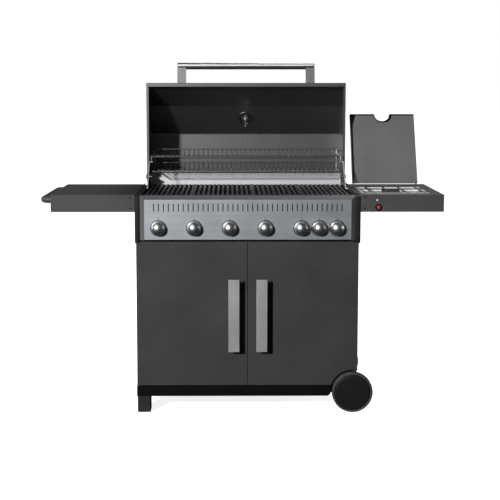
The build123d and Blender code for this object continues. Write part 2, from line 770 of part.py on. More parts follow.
# ---------------------------------------------------------------- side tables
for name, side in (("left", -1), ("right", 1)):
    table_x = sorted((side * table_inner, side * table_outer))
    with BuildPart() as table:
        with BuildSketch(Plane.XY.offset(table_low)):
            rectangle_between(*table_x, 0, table_depth)
        extrude(amount=table_high - table_low)
        fillet(table.edges().filter_by(Axis.Z), radius=3)
        fillet(table.faces().sort_by(Axis.Z)[-1].edges(), radius=1)
        block(
            table_x[0] + sheet, table_x[1] - sheet, sheet, table_depth - sheet,
            table_low - 1, table_high - sheet, mode=Mode.SUBTRACT,
        )
        if side > 0:
            block(
                bowl_left, bowl_right, bowl_front, bowl_back,
                table_high - 5, table_high + 5, mode=Mode.SUBTRACT,
            )
            rod((igniter_x, -5, igniter_z), (igniter_x, 5, igniter_z), 9, Mode.SUBTRACT)
    keep(table, f"{name}_table")

with BuildPart() as table_mounts:
    for side in (-1, 1):
        mount_x = sorted((side * half_width, side * table_inner))
        block(*mount_x, 40, 360, table_low + 8, table_high - 10)
keep(table_mounts, "table_mounts")

rail_ends = (28, 372)
with BuildPart() as towel_rail:
    with BuildLine():
        FilletPolyline(
            (-table_outer, rail_ends[0], rail_z),
            (rail_x, rail_ends[0], rail_z),
            (rail_x, rail_ends[1], rail_z),
            (-table_outer, rail_ends[1], rail_z),
            radius=24,
        )
    with BuildSketch(Plane(origin=(-table_outer, rail_ends[0], rail_z), z_dir=(-1, 0, 0))):
        Circle(rail_radius)
        Circle(rail_radius - 1.5, mode=Mode.SUBTRACT)
    sweep()
keep(towel_rail, "towel_rail")

# ---------------------------------------------------------------- side burner
with BuildPart() as side_burner_bowl:
    block(
        bowl_left - bowl_rim, bowl_right + bowl_rim, bowl_front - bowl_rim, bowl_back + bowl_rim,
        table_high, table_high + 1,
    )
    for wall, mode in ((0.5, Mode.ADD), (1.5, Mode.SUBTRACT)):
        with BuildSketch(Plane.XY.offset(table_high + 1)):
            rectangle_between(bowl_left, bowl_right, bowl_front, bowl_back, inset=wall)
        with BuildSketch(Plane.XY.offset(table_high - bowl_depth + wall)):
            rectangle_between(bowl_left, bowl_right, bowl_front, bowl_back, inset=wall + 12)
        loft(mode=mode)
    rod((bowl_mid_x, bowl_mid_y, 800), (bowl_mid_x, bowl_mid_y, 850), 22, Mode.SUBTRACT)
keep(side_burner_bowl, "side_burner_bowl")

bowl_floor = table_high - bowl_depth + 1.5
with BuildPart() as side_burner_head:
    rod((bowl_mid_x, bowl_mid_y, bowl_floor - 16), (bowl_mid_x, bowl_mid_y, bowl_floor + 4), 20)
    rod((bowl_mid_x, bowl_mid_y, bowl_floor), (bowl_mid_x, bowl_mid_y, bowl_floor + 20), 34)
    rod((bowl_mid_x, bowl_mid_y, bowl_floor + 20), (bowl_mid_x, bowl_mid_y, bowl_floor + 31), 37)
    with Locations((bowl_mid_x, bowl_mid_y, bowl_floor + 16)):
        with PolarLocations(33, 24):
            Box(6, 2, 3, mode=Mode.SUBTRACT)
keep(side_burner_head, "side_burner_head")

support_top = 867
with BuildPart() as pot_support:
    for bar_y in (bowl_front + 8, bowl_mid_y, bowl_back - 8):
        rod((bowl_left - 3, bar_y, table_high + 3.2), (bowl_right + 3, bar_y, table_high + 3.2), 2.2)
    for bar_x in (bowl_mid_x - 101, bowl_mid_x - 31, bowl_mid_x + 31, bowl_mid_x + 101):
        rod((bar_x, bowl_front + 4, support_top), (bar_x, bowl_back - 4, support_top), 2.2)
keep(pot_support, "pot_support")

with BuildPart() as side_burner_lid:
    with BuildSketch(Plane.XY.offset(side_lid_low)):
        rectangle_between(side_lid_left, side_lid_right, side_lid_front, side_lid_y + 3)
        with Locations(((side_lid_left + side_lid_right) / 2, side_lid_front)):
            Circle(finger_radius, mode=Mode.SUBTRACT)
    extrude(amount=side_lid_top - side_lid_low)
    fillet(side_burner_lid.faces().sort_by(Axis.Z)[-1].edges().filter_by(Axis.X), radius=1)
    with BuildSketch(Plane.XY.offset(side_lid_low)):
        rectangle_between(
            side_lid_left + sheet, side_lid_right - sheet, side_lid_front + sheet, side_lid_y + 4
        )
        with Locations(((side_lid_left + side_lid_right) / 2, side_lid_front)):
            Circle(finger_radius + sheet, mode=Mode.SUBTRACT)
    extrude(amount=side_lid_top - side_lid_low - sheet, mode=Mode.SUBTRACT)
    rod(
        (side_lid_left - 1, side_lid_y, side_lid_z), (side_lid_right + 1, side_lid_y, side_lid_z),
        side_pin_radius + running_gap, Mode.SUBTRACT,
    )
side_lid_axis = Axis((0, side_lid_y, side_lid_z), (1, 0, 0))
side_burner_lid.part = side_burner_lid.part.rotate(side_lid_axis, -side_lid_angle)
keep(side_burner_lid, "side_burner_lid")

with BuildPart() as igniter_housing:
    rod((igniter_x, -3, igniter_z), (igniter_x, 0, igniter_z), 13.5)
    rod((igniter_x, -3, igniter_z), (igniter_x, 32, igniter_z), 8.9)
    rod((igniter_x, -4, igniter_z), (igniter_x, 30, igniter_z), 7.3, Mode.SUBTRACT)
keep(igniter_housing, "igniter_housing")

with BuildPart() as igniter_button:
    rod((igniter_x, -9, igniter_z), (igniter_x, 18, igniter_z), 7)
    fillet(igniter_button.faces().sort_by(Axis.Y)[0].edges(), radius=3)
keep(igniter_button, "igniter_button")

# ---------------------------------------------------------------- tray and screws
with BuildPart() as grease_tray:
    block(-tray_half, tray_half, tray_front, tray_back, tray_low, tray_high)
    block(-tray_half - 6.5, tray_half + 6.5, tray_front, tray_back, tray_high - sheet, tray_high)
    block(
        -tray_half + sheet, tray_half - sheet, tray_front + sheet, tray_back - sheet,
        tray_low + sheet, tray_high + 1, mode=Mode.SUBTRACT,
    )
    block(-25, 25, tray_back, tray_back + 14, tray_high - sheet, tray_high)
keep(grease_tray, "grease_tray")

with BuildPart() as screws:
    for side in (-1, 1):
        for screw_z in (692, 712):
            rod((side * half_width, 31, screw_z), (side * (half_width + 2.5), 31, screw_z), 5)
        for screw_z in (808, 850):
            rod((side * 453, -2, screw_z), (side * 453, 0, screw_z), 3.5)
    rod((501, -2, 839), (501, 0, 839), 4)
    rod((table_outer, 30, 822), (table_outer + 3, 30, 822), 5)
keep(screws, "screws")

# ---------------------------------------------------------------- one origin, then the files
boxes = [piece.bounding_box() for piece in pieces]
middle_x = (min(box.min.X for box in boxes) + max(box.max.X for box in boxes)) / 2
middle_y = (min(box.min.Y for box in boxes) + max(box.max.Y for box in boxes)) / 2
lowest_z = min(box.min.Z for box in boxes)
origin = Vector(middle_x, middle_y, lowest_z)

os.makedirs("parts", exist_ok=True)
for piece in pieces:
    export_step(Pos(-origin) * piece, f"parts/{piece.label}.step")
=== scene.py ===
import math

import bmesh
import bpy
from mathutils import Matrix, Vector


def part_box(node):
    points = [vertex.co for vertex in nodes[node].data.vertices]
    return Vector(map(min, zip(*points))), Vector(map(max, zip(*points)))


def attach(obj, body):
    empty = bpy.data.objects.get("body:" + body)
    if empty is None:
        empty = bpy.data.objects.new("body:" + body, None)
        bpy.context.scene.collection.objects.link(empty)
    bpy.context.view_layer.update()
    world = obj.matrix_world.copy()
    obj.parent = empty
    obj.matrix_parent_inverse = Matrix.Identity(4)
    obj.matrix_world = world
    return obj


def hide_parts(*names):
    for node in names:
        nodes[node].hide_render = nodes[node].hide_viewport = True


# The looks of a gas barbecue on a cabinet cart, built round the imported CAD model.
# Metres, in the CAD frame: X to the right, Y to the back, Z up, floor at zero.

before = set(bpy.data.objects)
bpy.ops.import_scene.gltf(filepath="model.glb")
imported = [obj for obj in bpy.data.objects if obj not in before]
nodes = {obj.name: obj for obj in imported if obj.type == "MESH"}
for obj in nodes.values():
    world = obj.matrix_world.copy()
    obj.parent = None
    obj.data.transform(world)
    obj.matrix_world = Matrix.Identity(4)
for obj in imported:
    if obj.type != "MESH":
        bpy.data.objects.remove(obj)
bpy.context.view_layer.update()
scene = bpy.context.scene
mm = 0.001

# Sizes are worked out from the middle of the cart, the front of the doors and the floor.
cart_middle = (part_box("door_left")[0].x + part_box("door_right")[1].x) / 2
door_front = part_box("door_left")[0].y


def at(x, y, z):
    """A point given in millimetres from the cart's middle, the doors' front and the floor."""
    return Vector((cart_middle + x * mm, door_front + y * mm, z * mm))


# ------------------------------------------------------------------ shader helpers
def new_material(name):
    """A material with its node tree and its Principled shader."""
    material = bpy.data.materials.new(name)
    material.use_nodes = True
    tree = material.node_tree
    return material, tree, tree.nodes["Principled BSDF"]


def add_node(tree, kind, **values):
    """A shader node, with its sockets or its properties set by name."""
    node = tree.nodes.new(kind)
    for key, value in values.items():
        if key in node.inputs:
            node.inputs[key].default_value = value
        else:
            setattr(node, key, value)
    return node


def object_coordinates(tree, stretch=(1, 1, 1)):
    """Object coordinates, squeezed or stretched along each axis."""
    coordinates = add_node(tree, "ShaderNodeTexCoord")
    mapping = add_node(tree, "ShaderNodeMapping", Scale=stretch)
    tree.links.new(coordinates.outputs["Object"], mapping.inputs["Vector"])
    return mapping.outputs["Vector"]


def noise(tree, vector, scale, detail=3.0, roughness=0.5):
    """A noise texture's value, between zero and one."""
    texture = add_node(tree, "ShaderNodeTexNoise", Scale=scale, Detail=detail, Roughness=roughness)
    tree.links.new(vector, texture.inputs["Vector"])
    return texture.outputs["Fac"]


def to_range(tree, value, low, high, from_low=0.3, from_high=0.7):
    """A value carried from one range to another."""
    node = add_node(tree, "ShaderNodeMapRange")
    node.inputs["From Min"].default_value = from_low
    node.inputs["From Max"].default_value = from_high
    node.inputs["To Min"].default_value = low
    node.inputs["To Max"].default_value = high
    tree.links.new(value, node.inputs["Value"])
    return node.outputs["Result"]


def mixed_colour(tree, factor, first, second):
    """Two colours mixed by a factor; either may be three numbers or a socket."""
    node = add_node(tree, "ShaderNodeMix", data_type="RGBA")
    tree.links.new(factor, node.inputs[0])
    for socket, colour in ((node.inputs[6], first), (node.inputs[7], second)):
        if isinstance(colour, tuple):
            socket.default_value = (*colour, 1)
        else:
            tree.links.new(colour, socket)
    return node.outputs[2]


def add_bump(tree, shader, height, strength, distance):
    """Bump from a height value."""
    node = add_node(tree, "ShaderNodeBump", Strength=strength, Distance=distance)
    tree.links.new(height, node.inputs["Height"])
    tree.links.new(node.outputs["Normal"], shader.inputs["Normal"])


def shade(colour, factor):
    """A colour made darker or lighter."""
    return tuple(min(1.0, channel * factor) for channel in colour)


# ------------------------------------------------------------------ materials
def powder_coat(name, colour, roughness=0.5, gloss=0.4, grain=900.0):
    """Baked paint: fine orange peel, slight clouding, and paler sharp edges and corners that are a painted
    edge highlight.
    """
    material, tree, shader = new_material(name)
    vector = object_coordinates(tree)
    cloud = noise(tree, vector, 5.0, 4.0, 0.6)
    speck = noise(tree, vector, grain, 2.0)
    base = mixed_colour(tree, to_range(tree, cloud, 0, 1), shade(colour, 0.9), shade(colour, 1.1))
    geometry = add_node(tree, "ShaderNodeNewGeometry")
    # Paler where the mesh is sharp and pointed: a painted highlight along edges and corners.
    corner = to_range(tree, geometry.outputs["Pointiness"], 0, 0.6, 0.53, 0.62)
    final = mixed_colour(tree, corner, base, shade(colour, 1.7))
    tree.links.new(final, shader.inputs["Base Color"])
    gloss_range = to_range(tree, cloud, roughness - 0.04, roughness + 0.06)
    tree.links.new(gloss_range, shader.inputs["Roughness"])
    shader.inputs["Specular IOR Level"].default_value = gloss
    add_bump(tree, shader, speck, 0.2, 0.04 * mm)
    return material


def two_sided_enamel(name, outer, inner, outer_roughness, inner_roughness):
    """The lid's finish: satin paint outside, and a brighter metallic enamel inside.

    A face is outside where it looks away from the middle of the lid's open front.
    """
    material, tree, shader = new_material(name)
    low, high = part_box("lid_shell")
    coordinates = add_node(tree, "ShaderNodeTexCoord")
    reach = add_node(tree, "ShaderNodeVectorMath", operation="SUBTRACT")
    reach.inputs[1].default_value = ((low.x + high.x) / 2, low.y, (low.z + high.z) / 2)
    tree.links.new(coordinates.outputs["Object"], reach.inputs[0])
    facing = add_node(tree, "ShaderNodeVectorMath", operation="DOT_PRODUCT")
    tree.links.new(coordinates.outputs["Normal"], facing.inputs[0])
    tree.links.new(reach.outputs["Vector"], facing.inputs[1])
    outside = to_range(tree, facing.outputs["Value"], 0, 1, 0.03, 0.05)
    cloud = noise(tree, object_coordinates(tree), 5.0, 4.0, 0.6)
    tone = mixed_colour(tree, outside, inner, outer)
    shaded = mixed_colour(tree, outside, shade(inner, 0.92), shade(outer, 0.9))
    base = mixed_colour(tree, to_range(tree, cloud, 0, 1), shaded, tone)
    tree.links.new(base, shader.inputs["Base Color"])
    tree.links.new(to_range(tree, outside, 1.0, 0.0, 0, 1), shader.inputs["Metallic"])
    roughness = to_range(tree, outside, inner_roughness, outer_roughness, 0, 1)
    tree.links.new(roughness, shader.inputs["Roughness"])
    shader.inputs["Specular IOR Level"].default_value = 0.4
    add_bump(tree, shader, noise(tree, object_coordinates(tree), 500.0, 2.0), 0.2, 0.04 * mm)
    return material


def brushed_metal(name, colour, roughness, run, spacing=1400.0, streak=0.05, metallic=1.0):
    """Brushed sheet: fine scratches along one axis, uneven gloss and faint smears."""
    material, tree, shader = new_material(name)
    along = object_coordinates(tree, tuple(0.012 if axis == run else 1.0 for axis in "xyz"))
    even = object_coordinates(tree)
    scratch = noise(tree, along, spacing, 2.0, 0.6)
    band = noise(tree, along, spacing * 0.12, 2.0)
    smear = noise(tree, even, 7.0, 3.0)
    darker, lighter = shade(colour, 1 - streak), shade(colour, 1 + streak)
    base = mixed_colour(tree, to_range(tree, band, 0, 1), darker, lighter)
    tree.links.new(base, shader.inputs["Base Color"])
    shader.inputs["Metallic"].default_value = metallic
    uneven = add_node(tree, "ShaderNodeMath", operation="ADD")
    tree.links.new(to_range(tree, scratch, roughness - 0.05, roughness + 0.06), uneven.inputs[0])
    tree.links.new(to_range(tree, smear, -0.02, 0.03), uneven.inputs[1])
    tree.links.new(uneven.outputs[0], shader.inputs["Roughness"])
    add_bump(tree, shader, scratch, 0.12, 0.02 * mm)
    return material


def bright_metal(name, colour, roughness, smear_size=20.0, metallic=1.0):
    """Plated or polished metal with slightly uneven gloss."""
    material, tree, shader = new_material(name)
    vector = object_coordinates(tree)
    smear = noise(tree, vector, smear_size, 3.0, 0.6)
    fine = noise(tree, vector, 1200.0, 2.0)
    tree.links.new(mixed_colour(tree, smear, colour, shade(colour, 0.88)), shader.inputs["Base Color"])
    shader.inputs["Metallic"].default_value = metallic
    tree.links.new(to_range(tree, smear, roughness, roughness + 0.06), shader.inputs["Roughness"])
    add_bump(tree, shader, fine, 0.03, 0.01 * mm)
    return material


def reflection_streaked_metal(name, colour, painted_reflection_colour, roughness):
    """Bright sheet, darkened in vertical streaks towards its upper edge: a painted reflection of the warming
    rack's wires.
    """
    material, tree, shader = new_material(name)
    along = object_coordinates(tree, (1.0, 1.0, 0.02))
    streak = noise(tree, along, 75.0, 3.0, 0.6)
    place = add_node(tree, "ShaderNodeSeparateXYZ")
    tree.links.new(object_coordinates(tree), place.inputs[0])
    low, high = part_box("rear_baffle")
    # The upper share of the sheet is darkened in streaks: a painted reflection, strongest at the top edge and
    # fading out downward.
    reflection_share = 0.55
    unpainted_below = high.z - reflection_share * (high.z - low.z)
    height = to_range(tree, place.outputs["Z"], 0, 1, unpainted_below, high.z)
    painted_reflection = add_node(tree, "ShaderNodeMath", operation="MULTIPLY")
    tree.links.new(height, painted_reflection.inputs[0])
    tree.links.new(to_range(tree, streak, 0.45, 1.0), painted_reflection.inputs[1])
    tree.links.new(mixed_colour(tree, painted_reflection.outputs[0], colour, painted_reflection_colour), shader.inputs["Base Color"])
    shader.inputs["Metallic"].default_value = 0.45
    tree.links.new(to_range(tree, streak, roughness - 0.05, roughness + 0.08), shader.inputs["Roughness"])
    return material


def moulded_plastic(name, colour, roughness, gloss=0.35, grain=700.0):
    """Moulded plastic with a fine spark-eroded grain."""
    material, tree, shader = new_material(name)
    vector = object_coordinates(tree)
    cloud = noise(tree, vector, 14.0, 3.0)
    grain_value = noise(tree, vector, grain, 3.0, 0.7)
    base = mixed_colour(tree, to_range(tree, cloud, 0, 1), colour, shade(colour, 1.25))
    tree.links.new(base, shader.inputs["Base Color"])
    tree.links.new(to_range(tree, cloud, roughness - 0.04, roughness + 0.08), shader.inputs["Roughness"])
    shader.inputs["Specular IOR Level"].default_value = gloss
    add_bump(tree, shader, grain_value, 0.35, 0.05 * mm)
    return material


def cast_iron(name, colour, roughness=0.42):
    """Enamelled cast iron: pebbled, with a few rubbed places."""
    material, tree, shader = new_material(name)
    vector = object_coordinates(tree)
    pebble = noise(tree, vector, 380.0, 4.0, 0.65)
    rub = noise(tree, vector, 22.0, 3.0)
    base = mixed_colour(tree, to_range(tree, rub, 0, 1, 0.5, 0.75), colour, shade(colour, 2.4))
    tree.links.new(base, shader.inputs["Base Color"])
    tree.links.new(to_range(tree, rub, roughness - 0.1, roughness + 0.12), shader.inputs["Roughness"])
    add_bump(tree, shader, pebble, 0.45, 0.2 * mm)
    return material


def rubber(name, colour):
    """Black tyre rubber with dust in its grain."""
    material, tree, shader = new_material(name)
    vector = object_coordinates(tree)
    dust = noise(tree, vector, 18.0, 4.0, 0.65)
    grain = noise(tree, vector, 600.0, 3.0)
    base = mixed_colour(tree, to_range(tree, dust, 0, 1, 0.4, 0.75), colour, shade(colour, 1.8))
    tree.links.new(base, shader.inputs["Base Color"])
    tree.links.new(to_range(tree, dust, 0.5, 0.66), shader.inputs["Roughness"])
    shader.inputs["Specular IOR Level"].default_value = 0.4
    add_bump(tree, shader, grain, 0.4, 0.1 * mm)
    return material


dark_paint = powder_coat("dark_paint", (0.042, 0.043, 0.045), 0.52)
table_paint = powder_coat("table_paint", (0.055, 0.056, 0.057), 0.50)
frame_paint = powder_coat("frame_paint", (0.074, 0.077, 0.084), 0.48)
black_paint = powder_coat("black_paint", (0.003, 0.003, 0.0032), 0.55, 0.1)
lid_enamel = two_sided_enamel("lid_enamel", (0.048, 0.049, 0.051), (0.29, 0.29, 0.29), 0.50, 0.40)
cover_paint = powder_coat("cover_paint", (0.145, 0.145, 0.145), 0.50)
firebox_enamel = powder_coat("firebox_enamel", (0.010, 0.010, 0.010), 0.42, 0.4, 500.0)
panel_steel = brushed_metal("panel_steel", (0.59, 0.61, 0.64), 0.48, "x")
pull_steel = brushed_metal("pull_steel", (0.72, 0.73, 0.74), 0.50, "z")
bar_steel = bright_metal("bar_steel", (0.62, 0.62, 0.63), 0.28, 12.0)
post_steel = brushed_metal("post_steel", (0.24, 0.24, 0.245), 0.56, "z")
bright_sheet = brushed_metal("bright_sheet", (0.80, 0.81, 0.82), 0.36, "z", 500.0)
bowl_steel = brushed_metal("bowl_steel", (0.90, 0.90, 0.90), 0.34, "x", 500.0, 0.04, 0.35)
wire_steel = bright_metal("wire_steel", (0.46, 0.46, 0.47), 0.32, 60.0)
# A darker copy of the rails' wire steel for the rack's floor and fence wires: painted shade.
rack_wire_steel_painted_dark = bright_metal("rack_wire_steel_painted_dark", (0.20, 0.20, 0.205), 0.36, 60.0)
dark_steel = bright_metal("dark_steel", (0.16, 0.16, 0.16), 0.40, 60.0)
# The baffle's darker, streaked top is a painted reflection of the rack's wires.
baffle_steel = reflection_streaked_metal("baffle_steel", (0.86, 0.87, 0.89), (0.22, 0.22, 0.22), 0.40)
leg_steel = bright_metal("leg_steel", (0.62, 0.62, 0.62), 0.34, 60.0, 0.45)
chrome = bright_metal("chrome", (0.56, 0.57, 0.57), 0.36, 40.0)
zinc = bright_metal("zinc", (0.42, 0.42, 0.41), 0.36, 50.0)
brass = bright_metal("brass", (0.58, 0.42, 0.17), 0.32, 50.0)
black_plastic = moulded_plastic("black_plastic", (0.008, 0.008, 0.008), 0.50)
leg_plastic = moulded_plastic("leg_plastic", (0.018, 0.018, 0.018), 0.58)
hub_plastic = moulded_plastic("hub_plastic", (0.0105, 0.0105, 0.0105), 0.46, 0.22)
mark_black = moulded_plastic("mark_black", (0.006, 0.006, 0.006), 0.5)
dial_white = moulded_plastic("dial_white", (0.62, 0.62, 0.60), 0.4)
red_plastic = moulded_plastic("red_plastic", (0.46, 0.05, 0.055), 0.24, 0.5, 300.0)
iron = cast_iron("iron", (0.022, 0.022, 0.022))
tyre_rubber = rubber("tyre_rubber", (0.040, 0.040, 0.041))

node_materials = {
    "base_frame": black_paint, "axle": zinc, "wheel_front": tyre_rubber, "wheel_rear": tyre_rubber,
    "left_legs": leg_plastic, "bottom_shelf": dark_paint, "left_side_panel": dark_paint,
    "right_side_panel": dark_paint, "rear_panel": dark_paint, "front_rail": black_paint,
    "door_left": dark_paint, "door_right": dark_paint, "door_left_pull": pull_steel,
    "door_right_pull": pull_steel, "fascia_panel": panel_steel, "fascia_frame": frame_paint,
    "fascia_cheeks": black_plastic, "knob_bezels": dark_steel, "gas_manifold": zinc, "valve_bodies": brass,
    "firebox": firebox_enamel, "burners": bright_sheet, "heat_tents": bright_sheet, "grates": iron,
    "rear_baffle": baffle_steel, "lid_shell": lid_enamel, "lid_ends": lid_enamel,
    "lid_handle_bar": bar_steel, "lid_handle_posts": post_steel, "thermometer": wire_steel,
    "lid_hinge_ears": black_paint, "hinge_pins": zinc, "warming_rack": wire_steel, "rack_legs": leg_steel,
    "left_table": table_paint, "right_table": table_paint, "table_mounts": black_paint,
    "towel_rail": table_paint, "side_burner_bowl": bowl_steel, "side_burner_head": iron,
    "pot_support": iron, "side_burner_lid": cover_paint, "igniter_housing": black_plastic,
    "igniter_button": red_plastic, "grease_tray": bright_sheet, "screws": dark_steel,
}
valve_names = [name.removeprefix("valve_stem_") for name in nodes if name.startswith("valve_stem_")]
for valve_name in valve_names:
    node_materials["knob_" + valve_name] = chrome
    node_materials["valve_stem_" + valve_name] = brass
for label, material in node_materials.items():
    for place in nodes[label].material_slots:
        place.material = material


# ------------------------------------------------------------------ mesh helpers
def rounded(points, bend, steps=5):
    """The points of a wire's route, with its corners bent round."""
    route = [points[0]]
    for before, corner, after in zip(points, points[1:], points[2:]):
        back = (before - corner).normalized()
        forth = (after - corner).normalized()
        reach = bend / math.tan(back.angle(forth) / 2)
        start, end = corner + back * reach, corner + forth * reach
        for step in range(steps + 1):
            share = step / steps
            route.append(start.lerp(corner, share).lerp(corner.lerp(end, share), share))
    return [*route, points[-1]]


def add_wire(mesh, points, radius, bend=0.0, sides=8):
    """A round wire along points in metres, with closed ends."""
    route = rounded(points, bend) if bend else points
    rings = []
    normal = (route[1] - route[0]).orthogonal().normalized()
    for index, point in enumerate(route):
        ahead = (route[min(index + 1, len(route) - 1)] - route[max(index - 1, 0)]).normalized()
        normal = (normal - ahead * normal.dot(ahead)).normalized()
        side = ahead.cross(normal)
        ring = []
        for turn in range(sides):
            angle = 2 * math.pi * turn / sides
            spoke = normal * math.cos(angle) + side * math.sin(angle)
            ring.append(mesh.verts.new(point + spoke * radius))
        rings.append(ring)
    for ring, following in zip(rings, rings[1:]):
        for turn in range(sides):
            after = (turn + 1) % sides
            mesh.faces.new((ring[turn], ring[after], following[after], following[turn]))
    mesh.faces.new(list(reversed(rings[0])))
    mesh.faces.new(rings[-1])


def add_turned(mesh, centre, direction, profile, sides=64):
    """A turned shape: profile pairs of radius and distance along direction, in millimetres."""
    turn = direction.to_track_quat("Z", "Y").to_matrix()
    rings = []
    for radius, distance in profile:
        if radius == 0:
            rings.append([mesh.verts.new(centre + turn @ Vector((0, 0, distance * mm)))])
            continue
        ring = []
        for index in range(sides):
            angle = 2 * math.pi * index / sides
            place = Vector((radius * math.cos(angle), radius * math.sin(angle), distance)) * mm
            ring.append(mesh.verts.new(centre + turn @ place))
        rings.append(ring)
    for ring, following in zip(rings, rings[1:]):
        for index in range(sides):
            after = (index + 1) % sides
            corners = [
                ring[index % len(ring)], ring[after % len(ring)],
                following[after % len(following)], following[index % len(following)],
            ]
            mesh.faces.new(list(dict.fromkeys(corners)))


def add_box(mesh, low, high, turn=None, pivot=None):
    """A box between two corners, turned about a pivot if a rotation is given."""
    place = Matrix.Translation((low + high) / 2) @ Matrix.Diagonal((*(high - low), 1))
    made = bmesh.ops.create_cube(mesh, size=1.0, matrix=place)
    if turn is not None:
        bmesh.ops.rotate(mesh, verts=made["verts"], cent=pivot, matrix=turn)


def make_piece(name, mesh, material, body, replaced=(), smooth=35.0):
    """An object from a bmesh, riding on a CAD body and standing for CAD nodes."""
    bmesh.ops.recalc_face_normals(mesh, faces=mesh.faces[:])
    data = bpy.data.meshes.new(name)
    mesh.to_mesh(data)
    mesh.free()
    data.materials.append(material)
    made = bpy.data.objects.new(name, data)
    scene.collection.objects.link(made)
    data.shade_smooth()
    data.set_sharp_from_angle(angle=math.radians(smooth))
    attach(made, body)
    if replaced:
        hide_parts(*replaced)
    return made


def bevelled(label, width, segments=2):
    """Rounded edges on a CAD node, as a modifier."""
    modifier = nodes[label].modifiers.new("edges", "BEVEL")
    modifier.width = width * mm
    modifier.segments = segments
    modifier.limit_method = "ANGLE"
    modifier.angle_limit = math.radians(40)
    modifier.harden_normals = False


# ------------------------------------------------------------------ wheels
axle_x, axle_z = 412.8, 79.8
rib_count = 8


def make_wheel(label, outer_y, inward):
    """A wheel: tyre with rounded shoulders and grooves, and a dished plastic disc with ribs behind."""
    centre = at(axle_x, outer_y, axle_z)
    axis = Vector((0, inward, 0))
    tyre = bmesh.new()
    add_turned(tyre, centre, axis, (
        (70.6, 9), (70.6, 2.2), (71.6, 0.9), (73.6, 0.2), (76, 0.7), (78.2, 2.2), (79.4, 4.4), (79.8, 7),
        (79.8, 9.2), (78.7, 9.6), (78.7, 10.6), (79.8, 11), (79.8, 16), (78.7, 16.4), (78.7, 17.4),
        (79.8, 17.8), (79.8, 20), (79.4, 22.6), (78.2, 24.8), (76, 26.3), (73.6, 26.8), (68, 26.8),
        (66, 25.5), (66, 9), (70.6, 9),
    ), 96)
    make_piece(label + "_tyre", tyre, tyre_rubber, label, (label,))
    disc = bmesh.new()
    add_turned(disc, centre, axis, (
        (0, 0), (12, 0.03), (30, 0.2), (48, 0.5), (60, 0.9), (66, 1.4), (68.6, 2.1), (69.9, 3.2), (70.3, 4.6),
        (70.3, 12), (14, 12), (12, 14), (12, 50), (6.05, 50), (6.05, 5), (0, 5),
    ), 96)
    near_y, far_y = sorted((outer_y + inward * 11.5, outer_y + inward * 23))
    rib_low, rib_high = at(axle_x + 11, near_y, axle_z - 1.5), at(axle_x + 66.5, far_y, axle_z + 1.5)
    for rib in range(rib_count):
        turn = Matrix.Rotation(math.radians(rib * 360 / rib_count + 10), 3, "Y")
        add_box(disc, rib_low, rib_high, turn, centre)
    make_piece(label + "_disc", disc, hub_plastic, label)


make_wheel("wheel_front", -13, 1)
make_wheel("wheel_rear", 443, -1)

# ------------------------------------------------------------------ warming rack
rack_half, rack_front, rack_back = 392, 292, 458
rack_floor, rack_fence = 987, 1005
basket_floor, basket_fence, basket_front = 920, 947, 345
rack_pivot_x, rack_pivot_y, rack_pivot_z = 422, 465, 997
leg_top_y, leg_top_z = 290, 964
wire_count, wire_pitch = 39, 20.2


def make_rack():
    """The two wire floors of the warming rack, with their turned-up backs."""
    rails = bmesh.new()
    for y, z in (
        (rack_front, rack_floor - 2.8), (rack_back + 2.8, rack_fence),
        ((rack_front + rack_back) / 2, rack_floor - 3.2), (basket_front, basket_floor - 2.8),
        (rack_back + 2.8, basket_fence), (rack_back - 40, basket_floor - 3.2),
    ):
        add_wire(rails, [at(-rack_half, y, z), at(rack_half, y, z)], 2 * mm)
    for side in (-1, 1):
        x = side * rack_half
        for front_y, floor_z, fence_z in (
            (rack_front, rack_floor, rack_fence), (basket_front, basket_floor, basket_fence),
        ):
            route = [at(x, front_y, floor_z), at(x, rack_back, floor_z), at(x, rack_back, fence_z)]
            add_wire(rails, route, 2.5 * mm, 7 * mm)
        add_wire(rails, [at(x, rack_back - 3, basket_floor), at(x, rack_back - 3, rack_floor)], 3 * mm)
        add_wire(rails, [at(x, leg_top_y, leg_top_z + 6), at(x, leg_top_y, rack_floor)], 3 * mm)
        pivot = [
            at(x, rack_back, rack_pivot_z), at(x, rack_pivot_y, rack_pivot_z),
            at(side * rack_pivot_x, rack_pivot_y, rack_pivot_z),
        ]
        add_wire(rails, pivot, 2.5 * mm, 5 * mm)
        eye = Vector((1, 0, 0))
        eye_profile = ((3.4, -2), (6.6, -2), (7, -1.5), (7, 1.5), (6.6, 2), (3.4, 2), (3.4, -2))
        add_turned(rails, at(x, leg_top_y, leg_top_z), eye, eye_profile, 24)
    make_piece("rack_rails", rails, wire_steel, "warming_rack", ("warming_rack",))
    wires = bmesh.new()
    for index in range(wire_count):
        x = (index - (wire_count - 1) / 2) * wire_pitch
        for front_y, floor_z, fence_z, bend in (
            (rack_front, rack_floor, rack_fence, 6), (basket_front, basket_floor, basket_fence, 12),
        ):
            route = [at(x, front_y - 2, floor_z), at(x, rack_back, floor_z), at(x, rack_back, fence_z + 1)]
            add_wire(wires, route, 1.5 * mm, bend * mm, 6)
    # The rack's wires take the darker steel: painted shade.
    make_piece("rack_wires", wires, rack_wire_steel_painted_dark, "warming_rack")


make_rack()

# ------------------------------------------------------------------ thermometer
bend_low, bend_high = Vector((0, 500, 1191)), Vector((0, 581, 1065.5))
dial_share = 0.43
facet = (bend_high - bend_low).normalized()
dial_out = Vector((0, -facet.z, facet.y))
dial_middle = bend_low.lerp(bend_high, dial_share)
dial_place = at(*dial_middle)


def dial_direction(degrees):
    """The direction on the dial's face at an angle from its top."""
    angle = math.radians(degrees)
    return Vector((1, 0, 0)) * math.sin(angle) - facet * math.cos(angle)


